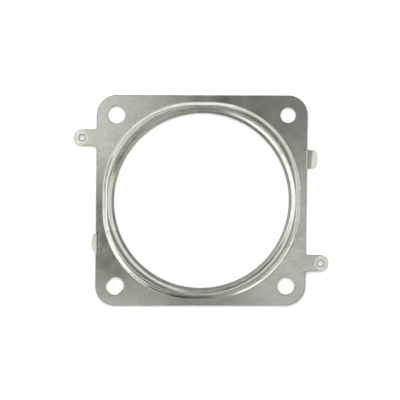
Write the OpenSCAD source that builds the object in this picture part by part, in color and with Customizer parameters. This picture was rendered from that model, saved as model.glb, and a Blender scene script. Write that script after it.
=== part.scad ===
// Beaded steel gasket for the joint between an intake manifold and its neighbour.
// Two thin stamped layers lie back to back. Each one rises into a bead round the bore, so the
// pair is springy, and two eyelets through ears outside the joint face hold the layers together.
// X and Y lie in the joint face and Z is up. The origin is under the middle of the bore, on the
// surface that the lower bead rests on.

/* [Plate] */
// Distance between neighbouring bolt holes
bolt_pitch = 95; // [92:0.5:104]
// Radius of the plate's corners, struck from the centres of the bolt holes
corner_r = 11; // [8:0.5:16]
// Thickness of one steel layer
sheet_t = 0.25; // [0.15:0.05:0.4]

/* [Bore and bead] */
// Diameter of the bore
bore_d = 97; // [90:0.5:98]
// Width of the flat lip between the bore and the bead
lip_w = 1.6; // [1:0.1:2.5]
// Width of the bead's slope on the bore side
inner_slope_w = 2.3; // [1.5:0.1:3]
// Width of the bead's slope on the outer side
outer_slope_w = 2.2; // [1.5:0.1:3]
// Height of one layer's bead
bead_h = 1.2; // [0.6:0.1:1.6]
// Radius of the bends along both feet of the bead
foot_bend_r = 0.6; // [0.2:0.1:0.8]
// Radius of the bends along both sides of the crest
crest_bend_r = 1.5; // [0.6:0.1:2]
// Flat land kept between the bead and each side of the plate
land_w = 3.7; // [2:0.1:5]
// Radius of the corners of the bead's outer foot, which is a square with large round corners
foot_corner_r = 50; // [40:0.5:52]

/* [Bolt holes] */
// Diameter of the round locating hole
locating_d = 8.4; // [6:0.1:10]
// Diameter of the two clearance holes
clearance_d = 9.5; // [7:0.1:11]
// Diameter of the flatted locating hole
flatted_d = 9.8; // [8:0.1:11]
// Distance across the flats of that hole
across_flats = 8.6; // [6:0.1:9.8]

/* [Ears] */
// Width of each ear, which ends in a full round
ear_w = 9.2; // [8.2:0.1:14]
// Height of the ears above or below the middle of the plate
ear_offset = 34.8; // [32:0.2:38]
// Distance from the plate's edge to the eyelet's centre
ear_reach = 8; // [6:0.5:16]
// Radius of the inside corners where an ear meets the plate
ear_root_r = 1.3; // [0.5:0.1:2.5]

/* [Eyelets] */
// Diameter of the hole through an eyelet
eyelet_bore_d = 3.1; // [2:0.1:3.6]
// Wall of the eyelet's tube
eyelet_wall = 0.35; // [0.2:0.05:0.5]
// Diameter of the eyelet's rolled flanges
flange_d = 6.9; // [6:0.1:7.8]
// Thickness of each rolled flange
flange_t = 0.35; // [0.25:0.05:0.6]
// Radial clearance between the eyelet's tube and the holes in the ears
eyelet_gap = 0.05; // [0.02:0.01:0.15]

/* [Tabs] */
// Width of each bent tab
tab_w = 10.6; // [6:0.2:13]
// Height of the tabs above or below the middle of the plate
tab_offset = 23; // [20:0.5:24]
// Radius of the corners at a tab's tip
tab_corner_r = 2.6; // [1:0.1:3]
// Radius of the inside corners where a tab meets the plate
tab_root_r = 0.9; // [0.3:0.1:1.2]
// How far the right tab stands out of the plate's edge
right_tab_reach = 5.7; // [4.6:0.1:9]
// Distance from the plate's edge to the bend where the right tab turns down
right_tab_bend = 2.7; // [1.5:0.1:3.4]
// How far the left tab, which turns down at the plate's edge, stands out
left_tab_reach = 2; // [1.8:0.1:6]
// Depth of the low step in the right tab beside the plate's edge
tab_step = 0.15; // [0.05:0.05:0.3]
// Width of that step
tab_step_w = 0.9; // [0.6:0.1:1.2]
// Height of a tab's tip over the face that the lower bead rests on
tab_tip_lift = 0.1; // [0.05:0.05:0.3]
// Inside radius of the bends in a tab
tab_bend_r = 0.15; // [0.05:0.05:0.2]
// Depth of the notch in the upper layer over each tab
notch_depth = 1.8; // [0.8:0.1:2]
// Gap between a tab's side and the end of the notch
notch_gap = 0.8; // [0.2:0.1:1]

/* [Hidden] */
$fn = 96;

// Half the plate, and the height of the plane in which the two layers touch
plate_half = bolt_pitch / 2 + corner_r;
joint_z = bead_h + sheet_t;

// Radii of the lines along the bead, from the bore outwards
bore_r = bore_d / 2;
lip_r = bore_r + lip_w;
crest_in_r = lip_r + inner_slope_w;

// Distance from the middle to the outer foot on each side, and to the middles of its round corners
foot_half = plate_half - land_w;
foot_hub = foot_half - foot_corner_r;

// A width that reaches past everything, and a depth below the sheet for a cut to run out
past_all = 2 * (plate_half + ear_reach + ear_w);
run_out = 1;

// Steps in which each bend of the sheet is drawn
bend_steps = 3;

// Sizes of the eyelet that follow from its hole and its wall
eyelet_r = eyelet_bore_d / 2 + eyelet_wall;
ear_hole_r = eyelet_r + eyelet_gap;
eyelet_half_h = sheet_t + flange_t;
eyelet_x = plate_half + ear_reach;

// Unit vector from point a to point b
function toward(a, b) = (b - a) / norm(b - a);

// The direction half way between the left-hand normals of two unit vectors, long enough to keep
// the distance from both lines
function mitre(u, v) = let (m = [-u.y - v.y, u.x + v.x]) 2 * m / (m * m);

// A path of [distance, height, bend radius], with each corner rounded in steps chords
function rounded(bends, steps) = [
    let (path = [for (b = bends) [b.x, b.y]])
    for (i = [0 : len(path) - 1])
        if (i == 0 || i == len(path) - 1) path[i]
        else
            let (
                r = bends[i].z,
                u = toward(path[i - 1], path[i]),
                v = toward(path[i], path[i + 1]),
                turn = atan2(u.x * v.y - u.y * v.x, u * v),
                back = r * tan(abs(turn) / 2),
                side = sign(turn),
                hub = path[i] - back * u + side * r * [-u.y, u.x]
            )
            for (k = [0 : steps])
                let (a = turn * k / steps)
                hub - side * r * [-u.y * cos(a) - u.x * sin(a), u.x * cos(a) - u.y * sin(a)]
];

// The path moved sideways by d to its left
function beside(path, d) = [
    for (i = [0 : len(path) - 1])
        let (
            u = toward(path[max(i - 1, 0)], path[max(i, 1)]),
            v = toward(path[min(i, len(path) - 2)], path[min(i + 1, len(path) - 1)])
        )
        path[i] + d * mitre(u, v)
];

// Lower face of the stamped sheet from the middle of the bore up to the crest
inner_line = rounded([
    [0, 0, 0],
    [lip_r, 0, foot_bend_r],
    [crest_in_r, bead_h, crest_bend_r],
    [past_all, bead_h, 0]
], bend_steps);

// The same face from the crest down to the outer foot, measured from the hub of a round corner
outer_line = rounded([
    [0, bead_h, 0],
    [foot_corner_r - outer_slope_w, bead_h, crest_bend_r],
    [foot_corner_r, 0, foot_bend_r],
    [past_all, 0, 0]
], bend_steps);

// Outline of everything below a line, down to the run-out
module below(line) {
    polygon(concat(line, [[past_all, -run_out], [0, -run_out]]));
}

// Everything below the line turned round the bore
module below_ring(line) {
    rotate_extrude($fn = 180) below(line);
}

// Everything below the line carried round a square with round corners: a quarter turn round each
// corner's hub, and a straight stretch between each two
module below_square(line) {
    for (turn = [0 : 90 : 270])
        rotate(turn) {
            translate([foot_hub, foot_hub, 0])
                intersection() {
                    rotate_extrude($fn = 180) below(line);
                    translate([0, 0, -2 * run_out]) cube([past_all, past_all, 8 * run_out]);
                }
            translate([foot_hub, 0, 0])
                rotate([90, 0, 0])
                    linear_extrude(2 * foot_hub, center = true) below(line);
        }
    translate([-foot_hub, -foot_hub, -run_out]) cube([2 * foot_hub, 2 * foot_hub, line[0].y + run_out]);
}

// Everything below the stamped face that lies d above the lower one
module below_face(d) {
    intersection() {
        below_ring(beside(inner_line, d));
        below_square(beside(outer_line, d));
    }
}

// One ear, pointing to +X from the middle of the plate, with rounded inside corners
module ear_outline() {
    translate([0, -ear_w / 2]) square([eyelet_x, ear_w]);
    translate([eyelet_x, 0]) circle(d = ear_w);
    for (side = [-1, 1])
        translate([plate_half, side * ear_w / 2])
            difference() {
                translate([0, side * ear_root_r / 2])
                    square([2 * ear_root_r, ear_root_r], center = true);
                translate([ear_root_r, side * ear_root_r]) circle(ear_root_r);
            }
}

// Outline of a layer without its holes
module plate_outline() {
    square([2 * plate_half, bolt_pitch], center = true);
    square([bolt_pitch, 2 * plate_half], center = true);
    for (x = [-1, 1], y = [-1, 1])
        translate([x, y] * bolt_pitch / 2) circle(corner_r);
    for (turn = [0, 180])
        rotate(turn) translate([0, -ear_offset]) ear_outline();
}

// Drills through a layer: the bore, the bolt holes and the holes in the ears
module drills() {
    tall = 4 * joint_z;
    half = bolt_pitch / 2;
    translate([0, 0, -tall / 2]) {
        cylinder(h = tall, r = bore_r, $fn = 180);
        translate([half, half]) cylinder(h = tall, d = locating_d);
        translate([-half, half]) cylinder(h = tall, d = clearance_d);
        translate([half, -half]) cylinder(h = tall, d = clearance_d);
        translate([-half, -half])
            intersection() {
                cylinder(h = tall, d = flatted_d);
                rotate(45) translate([-flatted_d, -across_flats / 2]) cube([2 * flatted_d, across_flats, tall]);
            }
        for (side = [-1, 1])
            translate([side * eyelet_x, -side * ear_offset]) cylinder(h = tall, r = ear_hole_r);
    }
}

// One layer with its bead up and its flat lower face on z = 0
module beaded_sheet() {
    difference() {
        intersection() {
            translate([0, 0, -run_out / 2]) linear_extrude(bead_h + sheet_t + run_out) plate_outline();
            below_face(sheet_t);
        }
        below_face(0);
        drills();
    }
}

// Places what follows at the right tab and, turned half a turn, at the left one
module at_tabs() {
    translate([plate_half, tab_offset]) children(0);
    rotate(180) translate([plate_half, tab_offset]) children(1);
}

// Outline of a tab seen from above, from the distance root inside the plate's edge to its tip
module tab_outline(root, reach) {
    side_y = tab_w / 2;
    round_r = min(tab_corner_r, root + reach);
    translate([-root, -side_y]) square([root + reach - round_r, tab_w]);
    translate([-root, round_r - side_y]) square([root + reach, tab_w - 2 * round_r]);
    for (side = [-1, 1]) {
        translate([reach - round_r, side * (side_y - round_r)]) circle(round_r);
        translate([0, side * side_y])
            difference() {
                square(2 * tab_root_r, center = true);
                translate([tab_root_r, side * tab_root_r]) circle(tab_root_r);
                translate([0, side * 2 * tab_root_r]) square([4 * tab_root_r, 2 * tab_root_r], center = true);
            }
    }
}

// A tab that leaves the plate's edge at x = 0 and runs over bends at [distance, drop] to its tip
module tab(bends, reach) {
    root = 2 * foot_bend_r;
    outer_bend_r = tab_bend_r + sheet_t;
    line = rounded(concat(
        [[-root, 0, 0]],
        [for (b = bends) [b.x, -b.y, outer_bend_r]],
        [[reach + sheet_t, sheet_t + tab_tip_lift - joint_z, 0]]
    ), bend_steps);
    upper = beside(line, sheet_t);
    intersection() {
        rotate([90, 0, 0])
            linear_extrude(tab_w + 2 * tab_root_r, center = true)
                polygon(concat(line, [for (i = [len(upper) - 1 : -1 : 0]) upper[i]]));
        translate([0, 0, -2 * joint_z]) linear_extrude(3 * joint_z) tab_outline(root, reach);
    }
}

// The notch in the edge of the upper layer over a tab
module notch() {
    long = tab_w + 2 * notch_gap;
    translate([-notch_depth, -long / 2, -run_out]) cube([notch_depth + run_out, long, 3 * run_out]);
}

// The upper layer, bead up
module top_layer() {
    color("silver")
        translate([0, 0, joint_z])
            difference() {
                beaded_sheet();
                at_tabs() {
                    notch();
                    notch();
                }
            }
}

// The lower layer, bead down, with the two tabs
module bottom_layer() {
    color("lightgray")
        translate([0, 0, joint_z]) {
            mirror([0, 0, 1]) beaded_sheet();
            translate([0, 0, -sheet_t])
                at_tabs() {
                    tab([[0, 0], [tab_step_w, tab_step], [right_tab_bend, tab_step]], right_tab_reach);
                    tab([[0, 0]], left_tab_reach);
                }
        }
}

// A tubular rivet: a tube with a throat that widens to both ends, and a rolled flange at each
module eyelet() {
    throat_r = eyelet_bore_d / 2;
    mouth_r = throat_r + eyelet_half_h;
    lip = flange_t / 2;
    rotate_extrude()
        difference() {
            union() {
                translate([mouth_r, 0]) circle(eyelet_half_h);
                translate([mouth_r, -eyelet_half_h]) square([flange_d / 2 - lip - mouth_r, 2 * eyelet_half_h]);
                for (side = [-1, 1])
                    translate([flange_d / 2 - lip, side * (sheet_t + lip)]) circle(lip, $fn = 32);
            }
            translate([eyelet_r, -sheet_t]) square([flange_d, 2 * sheet_t]);
        }
}

module left_eyelet() {
    color("gainsboro") translate([-eyelet_x, ear_offset, joint_z]) eyelet();
}

module right_eyelet() {
    color("gainsboro") translate([eyelet_x, -ear_offset, joint_z]) eyelet();
}

top_layer();
bottom_layer();
left_eyelet();
right_eyelet();
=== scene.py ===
"""Looks of a beaded steel gasket: two stamped layers back to back, held by two eyelets.

Lengths in the functions are millimetres in the part's own frame: Z is up and the bore is round it.
"""

import math

import bpy
import numpy as np
from mathutils import Matrix, Vector, geometry


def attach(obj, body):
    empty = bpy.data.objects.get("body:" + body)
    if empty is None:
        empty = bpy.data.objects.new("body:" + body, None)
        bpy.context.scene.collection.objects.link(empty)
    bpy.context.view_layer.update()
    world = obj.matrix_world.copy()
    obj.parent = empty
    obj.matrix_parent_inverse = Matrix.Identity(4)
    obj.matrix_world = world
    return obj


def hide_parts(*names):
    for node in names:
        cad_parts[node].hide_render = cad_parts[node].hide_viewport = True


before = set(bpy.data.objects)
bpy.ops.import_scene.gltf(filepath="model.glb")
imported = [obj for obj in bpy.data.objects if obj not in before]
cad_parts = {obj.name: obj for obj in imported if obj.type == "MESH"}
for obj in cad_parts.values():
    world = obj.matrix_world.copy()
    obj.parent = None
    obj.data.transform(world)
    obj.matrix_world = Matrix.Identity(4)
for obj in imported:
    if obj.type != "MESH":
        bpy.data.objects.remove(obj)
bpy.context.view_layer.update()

MM = 0.001

# Plate and bore as in the part's source, and the bead, whose lines lie up to 0.2 mm from the source's
# because they follow the photograph more closely
BOLT_PITCH = 95.0
CORNER_R = 11.0
SHEET_T = 0.25
BORE_R = 48.5
LIP_R = 50.05
INNER_SLOPE_W = 2.2
OUTER_SLOPE_W = 2.1
BEAD_H = 1.2
LAND_W = 3.75
FOOT_CORNER_R = 50.3
PLATE_HALF = BOLT_PITCH / 2 + CORNER_R
JOINT_Z = BEAD_H + SHEET_T
CREST_IN_R = LIP_R + INNER_SLOPE_W
FOOT_HALF = PLATE_HALF - LAND_W
FOOT_HUB = FOOT_HALF - FOOT_CORNER_R

# Bolt holes: middle x and y, diameter, distance across the flats or none
BOLT_HOLES = (
    (47.5, 47.5, 8.4, None),
    (-47.5, 47.5, 9.5, None),
    (47.5, -47.5, 9.5, None),
    (-47.5, -47.5, 9.8, 8.6),
)

# Ears and eyelets. An ear's tip lies a hair inside the source's, and a short flat is left between its
# two round corners
EAR_W = 9.2
EAR_Y = 34.8
EAR_ROOT_R = 1.3
LEFT_EAR_ROOT_R = 2.0
EAR_TIP_INSET = 0.015
EAR_TIP_FLAT = 0.1
EAR_CORNER_R = EAR_W / 2 - EAR_TIP_FLAT / 2
EYELET_X = 66.5
EYELET_BORE_R = 1.55
EYELET_WALL = 0.35
EYELET_GAP = 0.05
FLANGE_R = 3.45
FLANGE_T = 0.35
FLANGE_LAND_INSET = 0.06
FLANGE_UNEVEN = 0.05

# Slope that fills the corner between an eyelet's flange and its tube: outwards and down the tube
TUBE_FILLET = (0.12, 0.1)

# The painted shade in an eyelet's throat fades towards a radius this far past the mouth, over this width,
# and stops at the mouth
THROAT_SHADE_END = 0.15
THROAT_SHADE_FADE = 0.2

# Tabs: distance of a tab's middle from the part's middle (y), how far it stands out before its tip is
# rounded (reach), where it turns down, outwards from the plate's edge (bend), how much that bend runs
# aslant (slant), how soft it is (soft), the depth of the low step before it (step), the height over the
# plane that the lower bead rests on to which its slope would fall at that reach (lift), how far the
# tip's corners lie behind its middle (bow), and how far they are drawn in from the tab's sides (taper)
TAB_W = 10.2
TAB_CORNER_R = 2.7
TAB_ROOT_R = 0.9
TAB_TIP_R = 10
TAB_STEP_W = 0.5
TAB_STEP_BLEND = 0.03
RIGHT_TAB = dict(
    y=23.0, reach=5.85, bend=1.95, slant=0.09, soft=0.2, step=0.15, lift=0.04, bow=0.1, taper=0.0
)
LEFT_TAB = dict(
    y=23.45, reach=2.4, bend=-0.95, slant=0.0, soft=0.1, step=0.0, lift=0.42, bow=0.85, taper=0.5
)

# A short tab's corners are no larger than these shares of its reach
ROOT_SHARE = 0.3
CORNER_SHARE = 0.45

NOTCH_DEPTH = 1.8
NOTCH_GAP = 0.8
NOTCH_CORNER_R = 0.5

# Stamped edges: width and depth of the rolled side, size of the sharp side, and the flat kept
# smooth beside them
ROLL_W = 0.32
ROLL_DEPTH = 0.09
BURR_R = 0.03
EDGE_MARGIN = 0.12

# Roundness of the bead's bends, as the height over which two slopes run into each other, how far the
# edges of the widest crest lie under its middle, that crest's width, and the least width that an arch is
# worked out for
CREST_BLEND = 0.23
FOOT_BLEND = 0.17
CROWN = 0.14
WIDE_CREST = 2.25
NARROW_CREST = 0.3

# Sampling: points round a bolt hole and an ear's hole, over the rolled and the sharp side of a stamped
# edge, and over an eyelet's throat, its curl and its turn
HOLE_POINTS = 72
EAR_HOLE_POINTS = 48
EDGE_POINTS = (5, 3)
EYELET_POINTS = (25, 9, 96)

# Fewest steps of a round corner, and the distance at which two points of the plan count as one
LEAST_ARC_STEPS = 4
SAME_POINT = 1e-7

# Sampling of the ring: rays, rows between the lines of the bends, and how far it goes past the foot
RING_COLUMNS = 600
RING_ROWS = (5, 11, 8, 11, 4)
PAST_FOOT = 0.8

# Points over the rest of the sheet: spacing, the box they fill, and their least distance from the edges
LATTICE = 1.6
LATTICE_BOX = (-72, -60, 72, 60)
LATTICE_CLEARANCE = 0.45 * LATTICE

# Finer sampling of the tabs: spacing outwards and along the plate's edge, spacing along the tip's edge,
# the middle of the box it fills and the box, its least distance from the edges, and the zone that the
# coarse points leave to it
TAB_LATTICE = (0.16, 0.6)
TAB_TIP_SPACING = 0.5
TAB_BOX_Y = 23.2
TAB_BOX = (57.2, TAB_BOX_Y - 7.5, 64.5, TAB_BOX_Y + 7.5)
TAB_CLEARANCE = 0.14
TAB_ZONE_X = 56.6
TAB_ZONE_HALF_W = 8

# Half the gap that keeps the two layers' faces apart
HALF_SEAM = 0.005

# Distance from a cut edge at which the value that marks it, for the duller edge tone and the painted shade
# along it, has sunk to about a third
EDGE_TONE_REACH = 0.6


def srgb(code):
    """A hex colour as linear red, green, blue and alpha."""
    parts = np.array([int(code[i : i + 2], 16) / 255 for i in (0, 2, 4)])
    linear = np.where(parts <= 0.04045, parts / 12.92, ((parts + 0.055) / 1.055) ** 2.4)
    return (*linear.tolist(), 1.0)


# Shape of the sheet


def smooth_min(a, b, blend):
    """The lower of a and b, less a parabola where they differ by under blend, which rounds the corner."""
    return np.minimum(a, b) - np.maximum(blend - np.abs(a - b), 0) ** 2 / (4 * blend)


def bead_height(x, y):
    """Height of the bead over the flat sheet: the lowest of the slope that starts on the lip's circle,
    the arched crest, and the slope that ends on the outer foot, a square with large round corners, and
    never under zero."""
    top = BEAD_H - HALF_SEAM
    r = np.hypot(x, y)
    from_hub_x, from_hub_y = np.abs(x) - FOOT_HUB, np.abs(y) - FOOT_HUB
    past_hub = np.hypot(np.maximum(from_hub_x, 0), np.maximum(from_hub_y, 0))
    from_foot = FOOT_CORNER_R - past_hub - np.minimum(np.maximum(from_hub_x, from_hub_y), 0)
    slopes = smooth_min((r - LIP_R) * top / INNER_SLOPE_W, from_foot * top / OUTER_SLOPE_W, CREST_BLEND)
    crest_w = np.maximum(r - CREST_IN_R + from_foot - OUTER_SLOPE_W, 0)
    across = np.clip((r - CREST_IN_R) / np.maximum(crest_w, NARROW_CREST), 0, 1)
    arch = top - CROWN * crest_w / WIDE_CREST * (2 * across - 1) ** 2
    return -smooth_min(-smooth_min(slopes, arch, CREST_BLEND), 0 * r, FOOT_BLEND)


def tab_drop(x, y):
    """How far a tab's middle surface lies under the flat sheet: over a low step at the plate's edge,
    level to a bend that runs a little aslant, and down from there to the tip."""
    drop = 0 * x
    for side, tab in ((1, RIGHT_TAB), (-1, LEFT_TAB)):
        out = side * x - PLATE_HALF
        across = side * y - tab["y"]
        fall = BEAD_H - tab["lift"] - tab["step"]
        slope = fall / (tab["reach"] - tab["bend"])
        ramp = (out + TAB_STEP_W) * tab["step"] / TAB_STEP_W
        step = smooth_min(ramp, tab["step"] + 0 * out, TAB_STEP_BLEND)
        down = (out - tab["bend"] - tab["slant"] * across) * slope - tab["soft"] / 4
        bent = np.maximum(step, 0) - smooth_min(-down, 0 * out, tab["soft"])
        on_tab = (out > -NOTCH_DEPTH) & (np.abs(across) < TAB_W / 2 + 2 * TAB_ROOT_R)
        drop = drop + np.where(on_tab, np.maximum(bent, 0), 0)
    return drop


def layer_middle(x, y, side):
    """Middle surface of a layer: side 1 has its bead up, side -1 has it down and carries the tabs."""
    z = JOINT_Z + side * (SHEET_T / 2 + HALF_SEAM + bead_height(x, y))
    return z - tab_drop(x, y) if side < 0 else z


def on_layer(x, y, lift, side):
    """Points at distance lift from the middle surface along its normal, worked out from the surface's
    rise over a hundredth of a millimetre each way."""
    step = 0.01
    rise_x = (layer_middle(x + step, y, side) - layer_middle(x - step, y, side)) / (2 * step)
    rise_y = (layer_middle(x, y + step, side) - layer_middle(x, y - step, side)) / (2 * step)
    size = np.sqrt(rise_x**2 + rise_y**2 + 1)
    away = side * lift / size
    return np.stack([x - away * rise_x, y - away * rise_y, layer_middle(x, y, side) + away], -1)


# Loops round the sheet


def rounded_loop(corners, spacing=1.2, arc_spacing=0.5, arc_turn=0.2):
    """A closed path through corners of (x, y, radius), or (x, y, radius, spacing of the side after it):
    each corner becomes an arc that touches both sides, and what is left of each side is cut into equal
    parts."""
    at = np.array([c[:2] for c in corners], float)
    before, after = np.roll(at, 1, 0), np.roll(at, -1, 0)
    u = at - before
    u /= np.linalg.norm(u, axis=1)[:, None]
    v = after - at
    v /= np.linalg.norm(v, axis=1)[:, None]
    turn = np.arctan2(u[:, 0] * v[:, 1] - u[:, 1] * v[:, 0], (u * v).sum(1))
    back = np.array([c[2] for c in corners]) * np.tan(np.abs(turn) / 2)
    points = []
    for i, corner in enumerate(corners):
        r, side = corner[2], np.sign(turn[i])
        steps = max(LEAST_ARC_STEPS, int(abs(turn[i]) / arc_turn), int(r * abs(turn[i]) / arc_spacing))
        a = turn[i] * np.linspace(0, 1, steps + 1)[:, None]
        left = np.array([-u[i, 1], u[i, 0]])
        hub = at[i] - back[i] * u[i] + side * r * left
        points.append(hub - side * r * (left * np.cos(a) - u[i] * np.sin(a)))
        start, end = points[-1][-1], at[(i + 1) % len(at)] - back[(i + 1) % len(at)] * v[i]
        length = np.linalg.norm(end - start)
        fine = corner[3] if len(corner) > 3 else spacing
        parts = max(1, int(round(length / fine)))
        share = np.linspace(0, 1, parts + 1)[1:-1, None]
        points.append(start + share * (end - start))
    return np.concatenate(points)


def outline(side):
    """Corners of the layer's outline, anticlockwise: the plate, its ears, and the notches of the upper
    layer or the tabs of the lower one."""
    e = EYELET_X + EAR_W / 2 - EAR_TIP_INSET
    half = [(PLATE_HALF, -PLATE_HALF, CORNER_R)]
    low, high = -EAR_Y - EAR_W / 2, -EAR_Y + EAR_W / 2
    half += [
        (PLATE_HALF, low, EAR_ROOT_R),
        (e, low, EAR_CORNER_R),
        (e, high, EAR_CORNER_R),
        (PLATE_HALF, high, EAR_ROOT_R),
    ]
    other = half.copy()
    other[-1] = (PLATE_HALF, high, LEFT_EAR_ROOT_R)
    for part, tab in ((half, RIGHT_TAB), (other, LEFT_TAB)):
        y = tab["y"]
        if side > 0:
            reach, edge = -NOTCH_DEPTH, TAB_W / 2 + NOTCH_GAP
            part += [
                (PLATE_HALF, y - edge, NOTCH_CORNER_R),
                (PLATE_HALF + reach, y - edge, NOTCH_CORNER_R),
                (PLATE_HALF + reach, y + edge, NOTCH_CORNER_R),
                (PLATE_HALF, y + edge, NOTCH_CORNER_R),
            ]
        else:
            root_r = min(TAB_ROOT_R, ROOT_SHARE * tab["reach"])
            tip_r = min(TAB_CORNER_R, CORNER_SHARE * tab["reach"])
            tip, edge = PLATE_HALF + tab["reach"], TAB_W / 2
            part += [
                (PLATE_HALF, y - edge, root_r, TAB_LATTICE[0]),
                (tip - tab["bow"], y - edge + tab["taper"], tip_r, TAB_TIP_SPACING),
                (tip, y, TAB_TIP_R, TAB_TIP_SPACING),
                (tip - tab["bow"], y + edge - tab["taper"], tip_r, TAB_LATTICE[0]),
                (PLATE_HALF, y + edge, root_r),
            ]
    end = [(PLATE_HALF, PLATE_HALF, CORNER_R)]
    turned = [(-c[0], -c[1], *c[2:]) for c in other + end]
    return rounded_loop(half + end + turned)


def hole(x, y, d, flats=None, count=HOLE_POINTS):
    """A hole's edge, clockwise: a circle, cut by two flats at 45 degrees if it has them."""
    a = -np.linspace(0, 2 * np.pi, count, endpoint=False)
    across = d / 2 * np.sin(a)
    along = d / 2 * np.cos(a)
    if not flats:
        return np.stack([x + along, y + across], -1)
    across = np.clip(across, -flats / 2, flats / 2)
    c = math.sqrt(0.5)
    return np.stack([x + c * (along - across), y + c * (along + across)], -1)


def outward(loop):
    """Unit vectors square to a loop, to its right, which is away from the metal."""
    way = np.roll(loop, -1, 0) - np.roll(loop, 1, 0)
    way /= np.linalg.norm(way, axis=1)[:, None]
    return np.stack([way[:, 1], -way[:, 0]], -1)


def edge_profile():
    """The stamped edge as (distance out, lift): flat, a rolled quarter ellipse, the cut wall, a small
    sharp rounding, and flat again."""
    h = SHEET_T / 2
    a = np.linspace(0, np.pi / 2, EDGE_POINTS[0])
    roll = np.stack([ROLL_W * (np.sin(a) - 1), h - ROLL_DEPTH * (1 - np.cos(a))], -1)
    b = np.linspace(0, np.pi / 2, EDGE_POINTS[1])
    burr = np.stack([-BURR_R * (1 - np.cos(b)), BURR_R * (1 - np.sin(b)) - h], -1)
    start = [[-ROLL_W - EDGE_MARGIN, h]]
    return np.concatenate([start, roll, burr, [[-ROLL_W - EDGE_MARGIN, -h]]])


def inside_loops(points, loops):
    """Which points the loops' winding puts in the metal: for each point the count of loop edges that
    cross the ray to its right, up as one and down as minus one."""
    count = np.zeros(len(points))
    for loop in loops:
        a, b = loop, np.roll(loop, -1, 0)
        up = (a[None, :, 1] <= points[:, None, 1]) & (b[None, :, 1] > points[:, None, 1])
        down = (a[None, :, 1] > points[:, None, 1]) & (b[None, :, 1] <= points[:, None, 1])
        cross = (b[None, :, 0] - a[None, :, 0]) * (points[:, None, 1] - a[None, :, 1]) - (
            points[:, None, 0] - a[None, :, 0]
        ) * (b[None, :, 1] - a[None, :, 1])
        count += (up & (cross > 0)).sum(1) - (down & (cross < 0)).sum(1)
    return count > 0.5


def loop_distance(points, loops):
    """Distance from each point to the nearest stretch of any loop."""
    best = np.full(len(points), np.inf)
    for loop in loops:
        a, way = loop, np.roll(loop, -1, 0) - loop
        rel = points[:, None] - a[None]
        t = np.clip((rel * way).sum(-1) / (way * way).sum(-1), 0, 1)
        best = np.minimum(best, np.linalg.norm(rel - t[..., None] * way, axis=-1).min(1))
    return best


def lattice(step_x, step_y, box):
    """Points of a regular grid over a box of (lowest x, lowest y, highest x, highest y)."""
    x = np.arange(box[0], box[2], step_x)
    y = np.arange(box[1], box[3], step_y)
    return np.stack(np.meshgrid(x, y), -1).reshape(-1, 2)


def foot_reach(angle, inset):
    """Distance along a ray from the middle to the square with round corners that lies inset inside the
    outer foot: to its straight side where the ray meets that, and else to the corner's arc."""
    c, s = np.abs(np.cos(angle)), np.abs(np.sin(angle))
    along = FOOT_HUB * (c + s)
    to_corner = along + np.sqrt(along**2 - 2 * FOOT_HUB**2 + (FOOT_CORNER_R - inset) ** 2)
    to_side = (FOOT_HALF - inset) / np.maximum(c, s)
    return np.where(to_side * np.minimum(c, s) < FOOT_HUB, to_side, to_corner)


def ring_grid():
    """Points of the ring from the bore to just past the bead's foot: along each ray the rows are
    spread evenly between the lines of the bends."""
    a = np.linspace(0, 2 * np.pi, RING_COLUMNS, endpoint=False)
    foot, crest = foot_reach(a, 0), foot_reach(a, OUTER_SLOPE_W)
    keys = [r + 0 * a for r in (BORE_R + ROLL_W + EDGE_MARGIN, LIP_R, CREST_IN_R)]
    keys += [crest, foot, foot + PAST_FOOT]
    rows = [keys[0][None]]
    for inner, outer, count in zip(keys, keys[1:], RING_ROWS):
        share = np.linspace(0, 1, count + 1)[1:, None]
        rows.append(inner + share * (outer - inner))
    r = np.concatenate(rows)
    return np.stack([r * np.cos(a), r * np.sin(a)], -1)


def build_mesh(name, points, polygons, attributes=()):
    """A mesh from points in millimetres and groups of equal polygons, with values per point."""
    mesh = bpy.data.meshes.new(name)
    corners = np.concatenate([p.ravel() for p in polygons])
    sizes = np.concatenate([np.full(len(p), p.shape[1]) for p in polygons])
    mesh.vertices.add(len(points))
    mesh.vertices.foreach_set("co", (points * MM).astype(np.float32).ravel())
    mesh.loops.add(len(corners))
    mesh.loops.foreach_set("vertex_index", corners.astype(np.int32))
    mesh.polygons.add(len(sizes))
    mesh.polygons.foreach_set("loop_start", (np.cumsum(sizes) - sizes).astype(np.int32))
    mesh.polygons.foreach_set("use_smooth", np.ones(len(sizes), bool))
    mesh.update(calc_edges=True)
    for key, values in attributes:
        mesh.attributes.new(key, "FLOAT", "POINT").data.foreach_set("value", values.astype(np.float32))
    piece = bpy.data.objects.new(name, mesh)
    bpy.context.scene.collection.objects.link(piece)
    return piece


def strips(index):
    """Four-sided faces between the neighbouring rows of a grid of point numbers, whose columns close."""
    a, b = index[:-1], index[1:]
    return np.stack([a, b, np.roll(b, -1, 1), np.roll(a, -1, 1)], -1).reshape(-1, 4)


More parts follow.
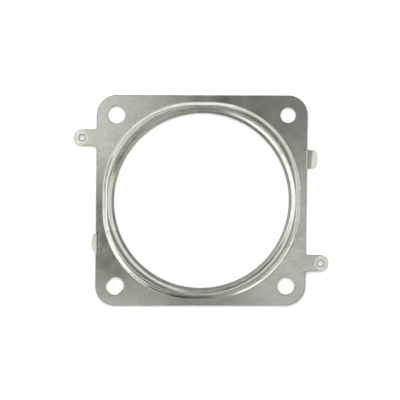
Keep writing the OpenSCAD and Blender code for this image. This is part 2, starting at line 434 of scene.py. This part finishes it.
def layer(name, side):
    """One stamped layer as a closed sheet. Its plan is a grid of rays over the ring and a Delaunay net
    of triangles over the rest. Both faces lift the same plan off the middle surface, and the edge
    profile, carried along each loop, joins them."""
    edges = [outline(side)]
    edges += [hole(*h) for h in BOLT_HOLES]
    ear_hole = 2 * (EYELET_BORE_R + EYELET_WALL + EYELET_GAP)
    edges += [hole(s * EYELET_X, -s * EAR_Y, ear_hole, None, EAR_HOLE_POINTS) for s in (1, -1)]
    profile = edge_profile()
    inset = [e + profile[0, 0] * outward(e) for e in edges]
    ring = ring_grid()
    rim = ring[-1][::-1]
    loops = [rim, *inset]

    fill = lattice(LATTICE, LATTICE, LATTICE_BOX)
    fill = fill[inside_loops(fill, loops) & (loop_distance(fill, loops) > LATTICE_CLEARANCE)]
    if side < 0:
        tab = lattice(*TAB_LATTICE, TAB_BOX)
        tab = np.concatenate([tab, -tab])
        tab = tab[inside_loops(tab, loops) & (loop_distance(tab, loops) > TAB_CLEARANCE)]
        beside = np.abs(np.abs(fill[:, 1]) - TAB_BOX_Y) < TAB_ZONE_HALF_W
        zone = (np.abs(fill[:, 0]) > TAB_ZONE_X) & beside
        fill = np.concatenate([fill[~zone], tab])
    flat = np.concatenate([*loops, fill])
    starts = np.cumsum([0] + [len(p) for p in loops])
    lines = [
        np.stack([np.arange(n), np.roll(np.arange(n), -1)], -1) + s
        for s, n in zip(starts, (len(p) for p in loops))
    ]
    found = geometry.delaunay_2d_cdt(
        [Vector(p) for p in flat.tolist()], np.concatenate(lines).tolist(), [], 0, SAME_POINT
    )
    net = np.array(found[2])
    back = np.array([ids[0] for ids in found[3]])
    if len(found[0]) != len(flat):
        raise ValueError("the plan's loops touch each other")
    net = back[net]
    net = net[inside_loops(flat[net].mean(1), loops)]

    ring_count = ring.shape[0] * RING_COLUMNS
    numbers = np.arange(ring_count).reshape(ring.shape[:2])
    after_rim = np.arange(len(flat) - RING_COLUMNS) + ring_count
    place = np.concatenate([numbers[-1][::-1], after_rim])
    plan = np.concatenate([ring.reshape(-1, 2), flat[RING_COLUMNS:]])
    net = place[net]
    quads = strips(numbers)
    count = len(plan)

    upper = on_layer(plan[:, 0], plan[:, 1], profile[0, 1], side)
    lower = on_layer(plan[:, 0], plan[:, 1], profile[-1, 1], side)
    bore = hole(0, 0, 2 * BORE_R, None, RING_COLUMNS)
    bore_numbers = np.roll(numbers[0][::-1], 1)
    points, faces = [upper, lower], [quads, quads[:, ::-1] + count]
    from_edge = np.hypot(plan[:, 0], plan[:, 1]) - BORE_R
    outside = slice(ring_count, None)
    from_edge[outside] = np.minimum(from_edge[outside], loop_distance(plan[outside], edges))
    # Near the cut edges the tone darkens: duller steel, and painted shade along the outlines
    near_edge_shade = [np.exp(-from_edge / EDGE_TONE_REACH)] * 2
    total = 2 * count
    firsts = [bore_numbers] + [place[s : s + len(e)] for s, e in zip(starts[1:], edges)]
    for loop, first in zip([bore, *edges], firsts):
        away = outward(loop)
        at = loop[None] + profile[1:-1, 0, None, None] * away[None]
        rows = on_layer(at[..., 0], at[..., 1], profile[1:-1, 1, None], side)
        new = np.arange(rows.shape[0] * rows.shape[1]).reshape(rows.shape[:2]) + total
        total += new.size
        points.append(rows.reshape(-1, 3))
        near_edge_shade.append(np.ones(new.size))
        faces.append(strips(np.concatenate([first[None], new, first[None] + count])))
    groups = [np.concatenate(faces), np.concatenate([net, net[:, ::-1] + count])]
    if side < 0:
        groups = [g[:, ::-1] for g in groups]
    return build_mesh(name, np.concatenate(points), groups, [("cut_edge_shade", np.concatenate(near_edge_shade))])


def eyelet(name, x, y):
    """A tubular rivet: its wall's outline, a throat between two bells that end in rolled flanges, is
    carried round its axis. The flanges are uneven by a wave of three to a turn and a weaker one of
    five."""
    half, lip = SHEET_T + FLANGE_T, FLANGE_T / 2
    tube = EYELET_BORE_R + EYELET_WALL
    mouth = EYELET_BORE_R + half
    a = np.linspace(-np.pi / 2, np.pi / 2, EYELET_POINTS[0])
    throat = np.stack([mouth - half * np.cos(a), half * np.sin(a)], -1)
    b = np.linspace(np.pi / 2, -np.pi / 2, EYELET_POINTS[1])
    curl = np.stack([FLANGE_R - lip + lip * np.cos(b), SHEET_T + lip + lip * np.sin(b)], -1)
    under = np.array([[tube + TUBE_FILLET[0], SHEET_T], [tube, SHEET_T - TUBE_FILLET[1]]])
    flange = np.array([[mouth + FLANGE_LAND_INSET, half], [FLANGE_R - lip - FLANGE_LAND_INSET, half]])
    outer = np.concatenate([flange, curl, under])
    section = np.concatenate([throat, outer, outer[::-1] * [1, -1]])
    turn = np.linspace(0, 2 * np.pi, EYELET_POINTS[2], endpoint=False)
    r = section[:, 0, None] + 0 * turn
    z = section[:, 1, None] + 0 * turn
    uneven = np.clip((section[:, 0, None] - mouth) / (FLANGE_R - mouth), 0, 1)
    r = r - uneven * FLANGE_UNEVEN * (1 + np.sin(3 * turn + x) * 0.6 + np.sin(5 * turn) * 0.4)
    points = np.stack([x + r * np.cos(turn), y + r * np.sin(turn), z + JOINT_Z], -1)
    numbers = np.arange(points.shape[0] * points.shape[1]).reshape(points.shape[:2])
    faces = strips(np.concatenate([numbers, numbers[:1]]))
    # Painted shade darkens the eyelet's throat, carried in the same attribute as the cut edges
    throat_shade = np.clip((mouth + THROAT_SHADE_END - section[:, 0]) / THROAT_SHADE_FADE, 0, 1)
    painted_throat_shade = np.repeat(np.where(np.arange(len(section)) < len(throat), throat_shade, 0), len(turn))
    return build_mesh(name, points.reshape(-1, 3), [faces], [("cut_edge_shade", painted_throat_shade)])


# Finishes


def add(tree, kind, links=(), **settings):
    """A node of this kind. Settings are properties of the node, and each link gives a named or numbered
    input the output that feeds it or the value that it keeps."""
    made = tree.nodes.new(kind)
    for key, value in settings.items():
        setattr(made, key, value)
    for key, value in links:
        if isinstance(value, bpy.types.NodeSocket):
            tree.links.new(value, made.inputs[key])
        else:
            made.inputs[key].default_value = value
    return made


def finish_of(name):
    """An empty material, its tree and its shader."""
    material = bpy.data.materials.new(name)
    material.use_nodes = True
    tree = material.node_tree
    return material, tree, tree.nodes["Principled BSDF"]


# Patterns of the steel: size in millimetres, detail, factors on the coordinates, of which one under 1
# draws the pattern out along that axis, and turn in radians. The rolled grain is finer on the real
# strip, and is drawn as coarse as it needs to show at half a millimetre a pixel
PATTERNS = {
    "grain": (0.67, 3, (1, 0.06, 1), 0.0),
    "cloud": (7.1, 5, (1, 1, 1), 0.0),
    "wipes": (9.0, 8, (1, 2.5, 1), 0.6),
    "mottle": (1.4, 3, (1, 1, 1), 0.0),
    "specks": (0.38, 1, (1, 1, 1), 0.0),
}

# Tones laid over the base by a pattern: its values for none and for the most, how much that is, colour
TONES = (
    ("mottle", 0.35, 0.65, 0.3, "a6a8a4"),
    ("wipes", 0.46, 0.66, 0.55, "cfccb6"),
    ("specks", 0.58, 0.78, 0.5, "e0e0d8"),
)
# Dark colour of the cut edges, which is duller steel and painted shade along the outlines, and of the
# painted shade in the eyelets' throats
CUT_EDGE_AND_SHADE_COLOUR = "72736f"

# Values of the cloud and of the edge attribute between which they take effect
CLOUD_SPAN = (0.3, 0.7)
EDGE_SHADE_SPAN = (0.55, 1.0)

# How much the clouds change the roughness each way, how much rougher a cut edge is, and the strength and
# the height in millimetres of the grain's relief
CLOUD_ROUGHNESS = 0.03
EDGE_ROUGHNESS = 0.08
GRAIN_STRENGTH = 0.006
GRAIN_HEIGHT = 0.1

# Small marks, painted shadows in the notches' top corners, and painted highlights over the ears' outer
# ends: middle, radius within which the tone is full, radius at which it ends, and colour
MARKS_SHADOWS_AND_HIGHLIGHTS = (
    # Painted shadow in the top corner of the left notch
    (-57.5, -17.9, 0.45, 0.75, "3c3d3a"),
    (-51.9, -17.4, 0.3, 0.5, "8b8c88"),
    (-40.3, 32.7, 0.2, 0.35, "f0f0ea"),
    (55.9, -21.2, 0.2, 0.4, "f0f0ea"),
    # Painted shadow in the top corner of the right notch
    (57.0, 28.8, 0.3, 0.6, "5a5a50"),
    # Painted highlights over the outer ends of the ears
    (-69.6, 34.8, 5.0, 6.2, "dadacf"),
    (69.6, -34.8, 5.0, 6.2, "eeeee4"),
)


def cold_rolled_stainless(name, light, dark, roughness, edge_shade):
    """Cold-rolled stainless strip, bright annealed: a warm grey metal with a faint rolled grain, cloudy
    patches and straw-coloured wipe marks from handling, fine specks, and duller, darker cut edges. The
    dark edge tone is also painted shade along the outlines and in the eyelets' throats. Small marks,
    painted shadows in the notches' corners and painted highlights on the ears' ends lie over it."""
    material, tree, shader = finish_of(name)
    place = add(tree, "ShaderNodeTexCoord").outputs["Object"]
    shown = {"edge": add(tree, "ShaderNodeAttribute", attribute_name="cut_edge_shade").outputs["Fac"]}
    for key, (size, detail, stretch, turn) in PATTERNS.items():
        links = [("Vector", place), ("Rotation", (0, 0, turn)), ("Scale", stretch)]
        where = add(tree, "ShaderNodeMapping", links)
        links = [("Vector", where.outputs[0]), ("Scale", 1 / (size * MM)), ("Detail", detail)]
        shown[key] = add(tree, "ShaderNodeTexNoise", links).outputs["Fac"]
    laid = [(shown["cloud"], *CLOUD_SPAN, 0, 1, light)]
    laid += [(shown[key], low, high, 0, most, colour) for key, low, high, most, colour in TONES]
    flat = add(tree, "ShaderNodeMapping", [("Vector", place), ("Scale", (1, 1, 0))]).outputs[0]
    # Each small mark, painted shadow or painted highlight is a disc of colour that fades out
    for x, y, full, end, colour in MARKS_SHADOWS_AND_HIGHLIGHTS:
        links = [(0, flat), (1, (x * MM, y * MM, 0))]
        away = add(tree, "ShaderNodeVectorMath", links, operation="DISTANCE")
        laid.append((away.outputs["Value"], full * MM, end * MM, 1, 0, colour))
    # Cut edges and eyelet throats darkened: duller steel, and painted shade
    laid.append((shown["edge"], *EDGE_SHADE_SPAN, 0, edge_shade, CUT_EDGE_AND_SHADE_COLOUR))
    tone = srgb(dark)
    for value, low, high, at_low, at_high, colour in laid:
        links = [("Value", value), (1, low), (2, high), (3, at_low), (4, at_high)]
        share = add(tree, "ShaderNodeMapRange", links)
        links = [("Factor", share.outputs[0]), (6, tone), (7, srgb(colour))]
        tone = add(tree, "ShaderNodeMix", links, data_type="RGBA").outputs[2]
    tree.links.new(tone, shader.inputs["Base Color"])
    spans = (
        ("cloud", CLOUD_SPAN, roughness - CLOUD_ROUGHNESS, roughness + CLOUD_ROUGHNESS),
        ("edge", EDGE_SHADE_SPAN, 0, EDGE_ROUGHNESS),
    )
    parts = []
    for key, (low, high), at_low, at_high in spans:
        links = [("Value", shown[key]), (1, low), (2, high), (3, at_low), (4, at_high)]
        parts.append(add(tree, "ShaderNodeMapRange", links).outputs[0])
    rough = add(tree, "ShaderNodeMath", enumerate(parts), operation="ADD")
    tree.links.new(rough.outputs[0], shader.inputs["Roughness"])
    links = [("Height", shown["grain"]), ("Strength", GRAIN_STRENGTH), ("Distance", GRAIN_HEIGHT * MM)]
    bump = add(tree, "ShaderNodeBump", links)
    tree.links.new(bump.outputs[0], shader.inputs["Normal"])
    shader.inputs["Metallic"].default_value = 1.0
    return material


# Bright annealed strip, which looks a little warm and grey, and the whiter, brighter steel of the rolled
# eyelets: light and dark tone, roughness, and how much a cut edge and an eyelet's throat take the dark
# colour of duller steel and painted shade
STAINLESS = cold_rolled_stainless("cold_rolled_stainless", "cacbc0", "c4c5ba", 0.19, 0.33)
EYELET_STEEL = cold_rolled_stainless("rolled_eyelet_steel", "eaeadc", "e4e4d4", 0.19, 0.6)

pieces = [
    (layer("upper_layer_sheet", 1), "top_layer", "sheet_steel", STAINLESS),
    (layer("lower_layer_sheet", -1), "bottom_layer", "sheet_steel", STAINLESS),
    (eyelet("left_eyelet_rolled", -EYELET_X, EAR_Y), "left_eyelet", "eyelet_steel", EYELET_STEEL),
    (eyelet("right_eyelet_rolled", EYELET_X, -EAR_Y), "right_eyelet", "eyelet_steel", EYELET_STEEL),
]
for piece, node, slot, material in pieces:
    piece.data.materials.append(material)
    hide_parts(node)
    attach(piece, "root")


# Floor, light and camera

# Half the floor's width, its glow to the rays that show it, and tints of the lamps
FLOOR_HALF = 3000
FLOOR_GLOW = 0.21
TINTS = {
    "cool": (0.985, 1.0, 1.05),
    "plain": (1.0, 1.0, 1.0),
    "warm": (1.015, 1.0, 0.98),
    "cream": (1.03, 1.0, 0.95),
}

# About the angle that one flat lamp of a bank covers, in degrees
BANK_BOX_ANGLE = 30


def floor():
    """A wide pale floor under the gasket. It shows white round the object and keeps its shadow, and it
    lets a look from below through."""
    points = np.array([[-1, -1, 0], [1, -1, 0], [1, 1, 0], [-1, 1, 0]], float) * FLOOR_HALF
    ground = build_mesh("floor", points, [np.array([[0, 1, 2, 3]])])
    material, tree, shader = finish_of("matt_white_sweep")
    shader.inputs["Base Color"].default_value = srgb("f4f4f4")
    shader.inputs["Roughness"].default_value = 1.0
    shader.inputs["Specular IOR Level"].default_value = 0.0
    rays = add(tree, "ShaderNodeLightPath").outputs
    seen = rays["Is Camera Ray"]
    for kind in ("Is Glossy Ray", "Is Transmission Ray"):
        seen = add(tree, "ShaderNodeMath", [(0, seen), (1, rays[kind])], operation="MAXIMUM").outputs[0]
    glow = add(tree, "ShaderNodeMath", [(0, seen), (1, FLOOR_GLOW)], operation="MULTIPLY")
    shader.inputs["Emission Color"].default_value = (1, 1, 1, 1)
    tree.links.new(glow.outputs[0], shader.inputs["Emission Strength"])
    below = add(tree, "ShaderNodeNewGeometry").outputs["Backfacing"]
    clear = add(tree, "ShaderNodeBsdfTransparent")
    mix = add(tree, "ShaderNodeMixShader", [(0, below), (1, shader.outputs[0]), (2, clear.outputs[0])])
    tree.links.new(mix.outputs[0], tree.nodes["Material Output"].inputs["Surface"])
    ground.data.materials.append(material)


def lamp(name, location, width, height, radiance, tint):
    """A rectangular soft lamp, out of the camera's sight. Radiance 1 shows in a mirror as white, and the
    power is the radiance times pi times the area."""
    light = bpy.data.lights.new(name, "AREA")
    light.shape = "RECTANGLE"
    light.size, light.size_y = width * MM, height * MM
    light.energy = radiance * math.pi * light.size * light.size_y
    light.color = TINTS[tint]
    placed = bpy.data.objects.new(name, light)
    placed.location = Vector(location) * MM
    placed.visible_camera = False
    bpy.context.scene.collection.objects.link(placed)
    return placed


def bank(name, low, high, start, end, distance, radiance, tint):
    """A curved bank of soft lamps that face the gasket. It reaches from elevation low to high and from
    azimuth start to end, in degrees, where azimuth 0 is at +X and 90 at +Y."""
    count = max(1, round((end - start) / BANK_BOX_ANGLE))
    step = math.radians((end - start) / count)
    e = math.radians((low + high) / 2)
    width = 2 * distance * math.cos(e) * math.tan(step / 2)
    height = 2 * distance * math.tan(math.radians(high - low) / 2)
    made = []
    for i in range(count):
        a = math.radians(start) + (i + 0.5) * step
        way = Vector((math.cos(a) * math.cos(e), math.sin(a) * math.cos(e), math.sin(e)))
        made.append(lamp(f"{name}_{i}", way * distance, width, height, radiance, tint))
        made[-1].rotation_euler = way.to_track_quat("Z", "Y").to_euler()
    return made


floor()

# Banks of lamps: lowest and highest elevation, first and last azimuth in degrees, radiance and tint. This
# list and the next began as a least-squares fit of lamps to the brightness of the photograph's bead and
# flats, and were then rounded and changed. Each row stands a little further off than the last, so that no
# two lamps lie in one place
NEAREST_BANK = 600
BANK_SPACING = 8
BANKS = (
    ("low_right_bank", 7, 25, 292, 338, 1.5, "plain"),
    ("low_front_bank", 7, 31, 278, 308, 0.4, "plain"),
    ("low_left_bank", 13, 31, 188, 232, 1.25, "plain"),
    ("back_right_bank", 19, 37, -22, 158, 1.0, "cool"),
    ("back_left_bank", 19, 43, 68, 248, 0.55, "cool"),
    ("front_left_bank", 31, 37, 218, 262, 1.65, "plain"),
    ("front_left_ring", 31, 43, 188, 278, 0.5, "plain"),
    ("right_ring", 37, 43, -22, 68, 1.4, "cool"),
    ("left_box", 37, 55, 172, 218, 0.75, "cool"),
    ("high_left_ring", 43, 55, 158, 248, 1.15, "cool"),
    ("high_front_ring", 43, 55, 278, 398, 0.58, "cream"),
    ("high_back_left_box", 49, 67, 142, 172, 0.6, "cool"),
    ("high_front_box", 55, 61, 262, 292, 1.15, "plain"),
    ("right_tab_box", 46, 58, 335, 365, 0.7, "cream"),
    ("high_back_ring", 55, 67, 52, 232, 1.0, "plain"),
)
for i, (name, *reach, radiance, tint) in enumerate(BANKS):
    bank(name, *reach, NEAREST_BANK + BANK_SPACING * i, radiance, tint)

# Lamps overhead, which face straight down: middle, width, depth, radiance and tint
OVERHEAD = (
    ("back_left_overhead", -74, 87, 200, 200, 0.73, "plain"),
    ("far_left_overhead", -62, 22, 100, 84, 0.2, "plain"),
    ("left_ear_overhead", -47, -19, 68, 38, 0.88, "plain"),
    ("middle_overhead", 8, -18, 30, 16, 0.6, "plain"),
    ("near_front_overhead", 26, -94, 44, 46, 0.32, "plain"),
    ("left_overhead", -62, -142, 156, 60, 1.45, "warm"),
    ("front_overhead", 100, -160, 60, 160, 0.85, "cool"),
    ("right_overhead", 160, -57, 160, 60, 0.72, "plain"),
    ("back_right_overhead", 180, 60, 200, 200, 0.19, "cool"),
    ("far_corner_overhead", 260, -220, 100, 100, 1.5, "cool"),
)
LOWEST_OVERHEAD = 415
OVERHEAD_SPACING = 4
for i, (name, x, y, width, depth, radiance, tint) in enumerate(OVERHEAD):
    lamp(name, (x, y, LOWEST_OVERHEAD + OVERHEAD_SPACING * i), width, depth, radiance, tint)

# Two lamps at the back, out of reflections, so that the shadow falls to the front as in the photograph
SHADOW_DISTANCE = 900
SHADOW_RADIANCE = 3.0
for placed in bank("shadow_bank", 24, 64, 60, 120, SHADOW_DISTANCE, SHADOW_RADIANCE, "plain"):
    placed.visible_glossy = False

# White to the camera, and dim to every other ray, so that the steel mirrors the lamps and not a white room
WORLD_LEVEL = 0.12
world = bpy.data.worlds.new("studio")
bpy.context.scene.world = world
world.use_nodes = True
backdrop = world.node_tree.nodes["Background"]
seen = add(world.node_tree, "ShaderNodeLightPath").outputs["Is Camera Ray"]
level = add(world.node_tree, "ShaderNodeMapRange", [("Value", seen), (3, WORLD_LEVEL), (4, 1.0)])
world.node_tree.links.new(level.outputs[0], backdrop.inputs["Strength"])
backdrop.inputs["Color"].default_value = (1, 1, 1, 1)

# Camera as fitted to the photograph: turns in degrees, shift, distance and farthest sight in
# millimetres, focal length and width of the picture in pixels
CAMERA_TURNS = (6.145, 5.677, -0.687)
CAMERA_SHIFT = (0.681, -0.184)
CAMERA_DISTANCE = 3358.9
FOCAL_PIXELS = 6076.6
PICTURE_WIDTH = 400
FARTHEST_SEEN = 50000
camera = bpy.data.cameras.new("photo_camera")
camera.sensor_fit = "HORIZONTAL"
camera.sensor_width = 36.0
camera.lens = FOCAL_PIXELS * camera.sensor_width / PICTURE_WIDTH
camera.clip_end = FARTHEST_SEEN * MM
turns = [Matrix.Rotation(math.radians(a), 3, axis) for a, axis in zip(CAMERA_TURNS, "XYZ")]
to_world = (turns[0] @ turns[1] @ turns[2]).transposed()
spot = to_world @ Vector((-CAMERA_SHIFT[0], -CAMERA_SHIFT[1], CAMERA_DISTANCE)) * MM
placed_camera = bpy.data.objects.new("photo_camera", camera)
placed_camera.matrix_world = Matrix.Translation(spot) @ to_world.to_4x4()
bpy.context.scene.collection.objects.link(placed_camera)
bpy.context.scene.camera = placed_camera

bpy.context.scene.view_settings.view_transform = "Standard"
